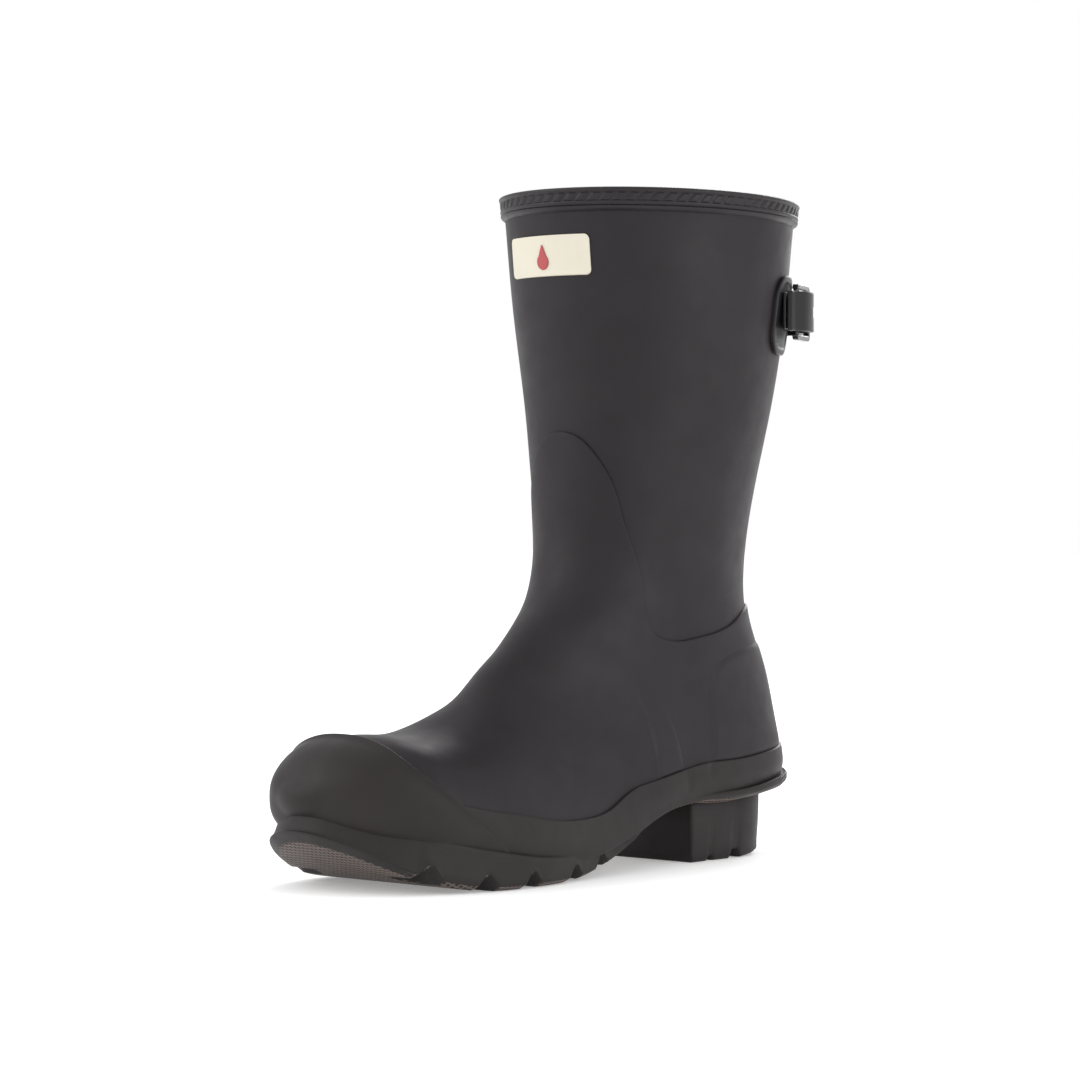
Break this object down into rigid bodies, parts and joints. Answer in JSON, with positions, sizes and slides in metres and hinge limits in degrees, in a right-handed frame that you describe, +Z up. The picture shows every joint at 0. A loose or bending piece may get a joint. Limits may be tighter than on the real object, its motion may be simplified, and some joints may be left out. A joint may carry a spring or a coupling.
{
  "type": "rubber rain boot",
  "caption": "Short black rubber rain boot for the left foot, with a rim band, back gusset, buckled side strap, toe cap, rand and a low block heel.",
  "frame": {"origin": "on the floor under the middle of the boot's bounding box", "axes": "+Z up the leg, -Y towards the toe, +X towards the wearer's outer (lateral) side"},
  "size_m": [0.1266, 0.2831, 0.29],
  "materials": {
    "upper_rubber": "matte moulded black rubber",
    "gusset_rubber": "thin matte black rubber",
    "rand_rubber": "matte black rubber, slightly brown",
    "sole_rubber": "matte black rubber, slightly brown, worn edges",
    "band_rubber": "satin ribbed black rubber",
    "trim_rubber": "satin black rubber",
    "buckle_metal": "glossy black coated metal",
    "label_plastic": "soft cream plastic",
    "motif_plastic": "dull red plastic",
    "lining": "knitted dark grey jersey",
    "cover_fabric": "brushed dark grey fabric",
    "foam": "closed-cell foam",
    "board": "pressed cellulose board",
    "stiffener": "impregnated stiffening cloth",
    "shank_steel": "spring steel strip"
  },
  "bodies": {
    "root": {"leg_upper": "upper_rubber", "back_gusset": "gusset_rubber", "toe_puff": "stiffener", "lining_leg": "lining", "lining_foot": "lining", "vamp_overlay": "upper_rubber", "toe_cap": "rand_rubber", "rand_strip": "rand_rubber", "heel_counter": "upper_rubber", "instep_stay_lateral": "upper_rubber", "instep_stay_medial": "upper_rubber", "insole_board": "board", "footbed": "foam", "footbed_cover": "cover_fabric", "outsole": "sole_rubber", "arch_shank": "shank_steel", "forefoot_filler": "foam", "heel_block": "sole_rubber", "heel_filler": "foam", "top_band": "band_rubber", "label_plate": "label_plastic", "label_motif": "motif_plastic", "strap_patch_lateral": "trim_rubber", "strap_patch_medial": "trim_rubber", "strap": "trim_rubber", "buckle_tab": "trim_rubber"},
    "buckle": {"buckle_frame": "buckle_metal", "buckle_bar": "buckle_metal"},
    "tongue": {"buckle_tongue": "buckle_metal"}
  },
  "joints": [
    {"name": "buckle_swing", "type": "hinge", "parent": "root", "child": "buckle", "pos_m": [0.05306, 0.10526, 0.24], "axis": [0, 0, -1], "range_deg": [0, 8]},
    {"name": "tongue_swing", "type": "hinge", "parent": "buckle", "child": "tongue", "pos_m": [0.05306, 0.10526, 0.24], "axis": [0, 0, -1], "range_deg": [0, 3]}
  ]
}
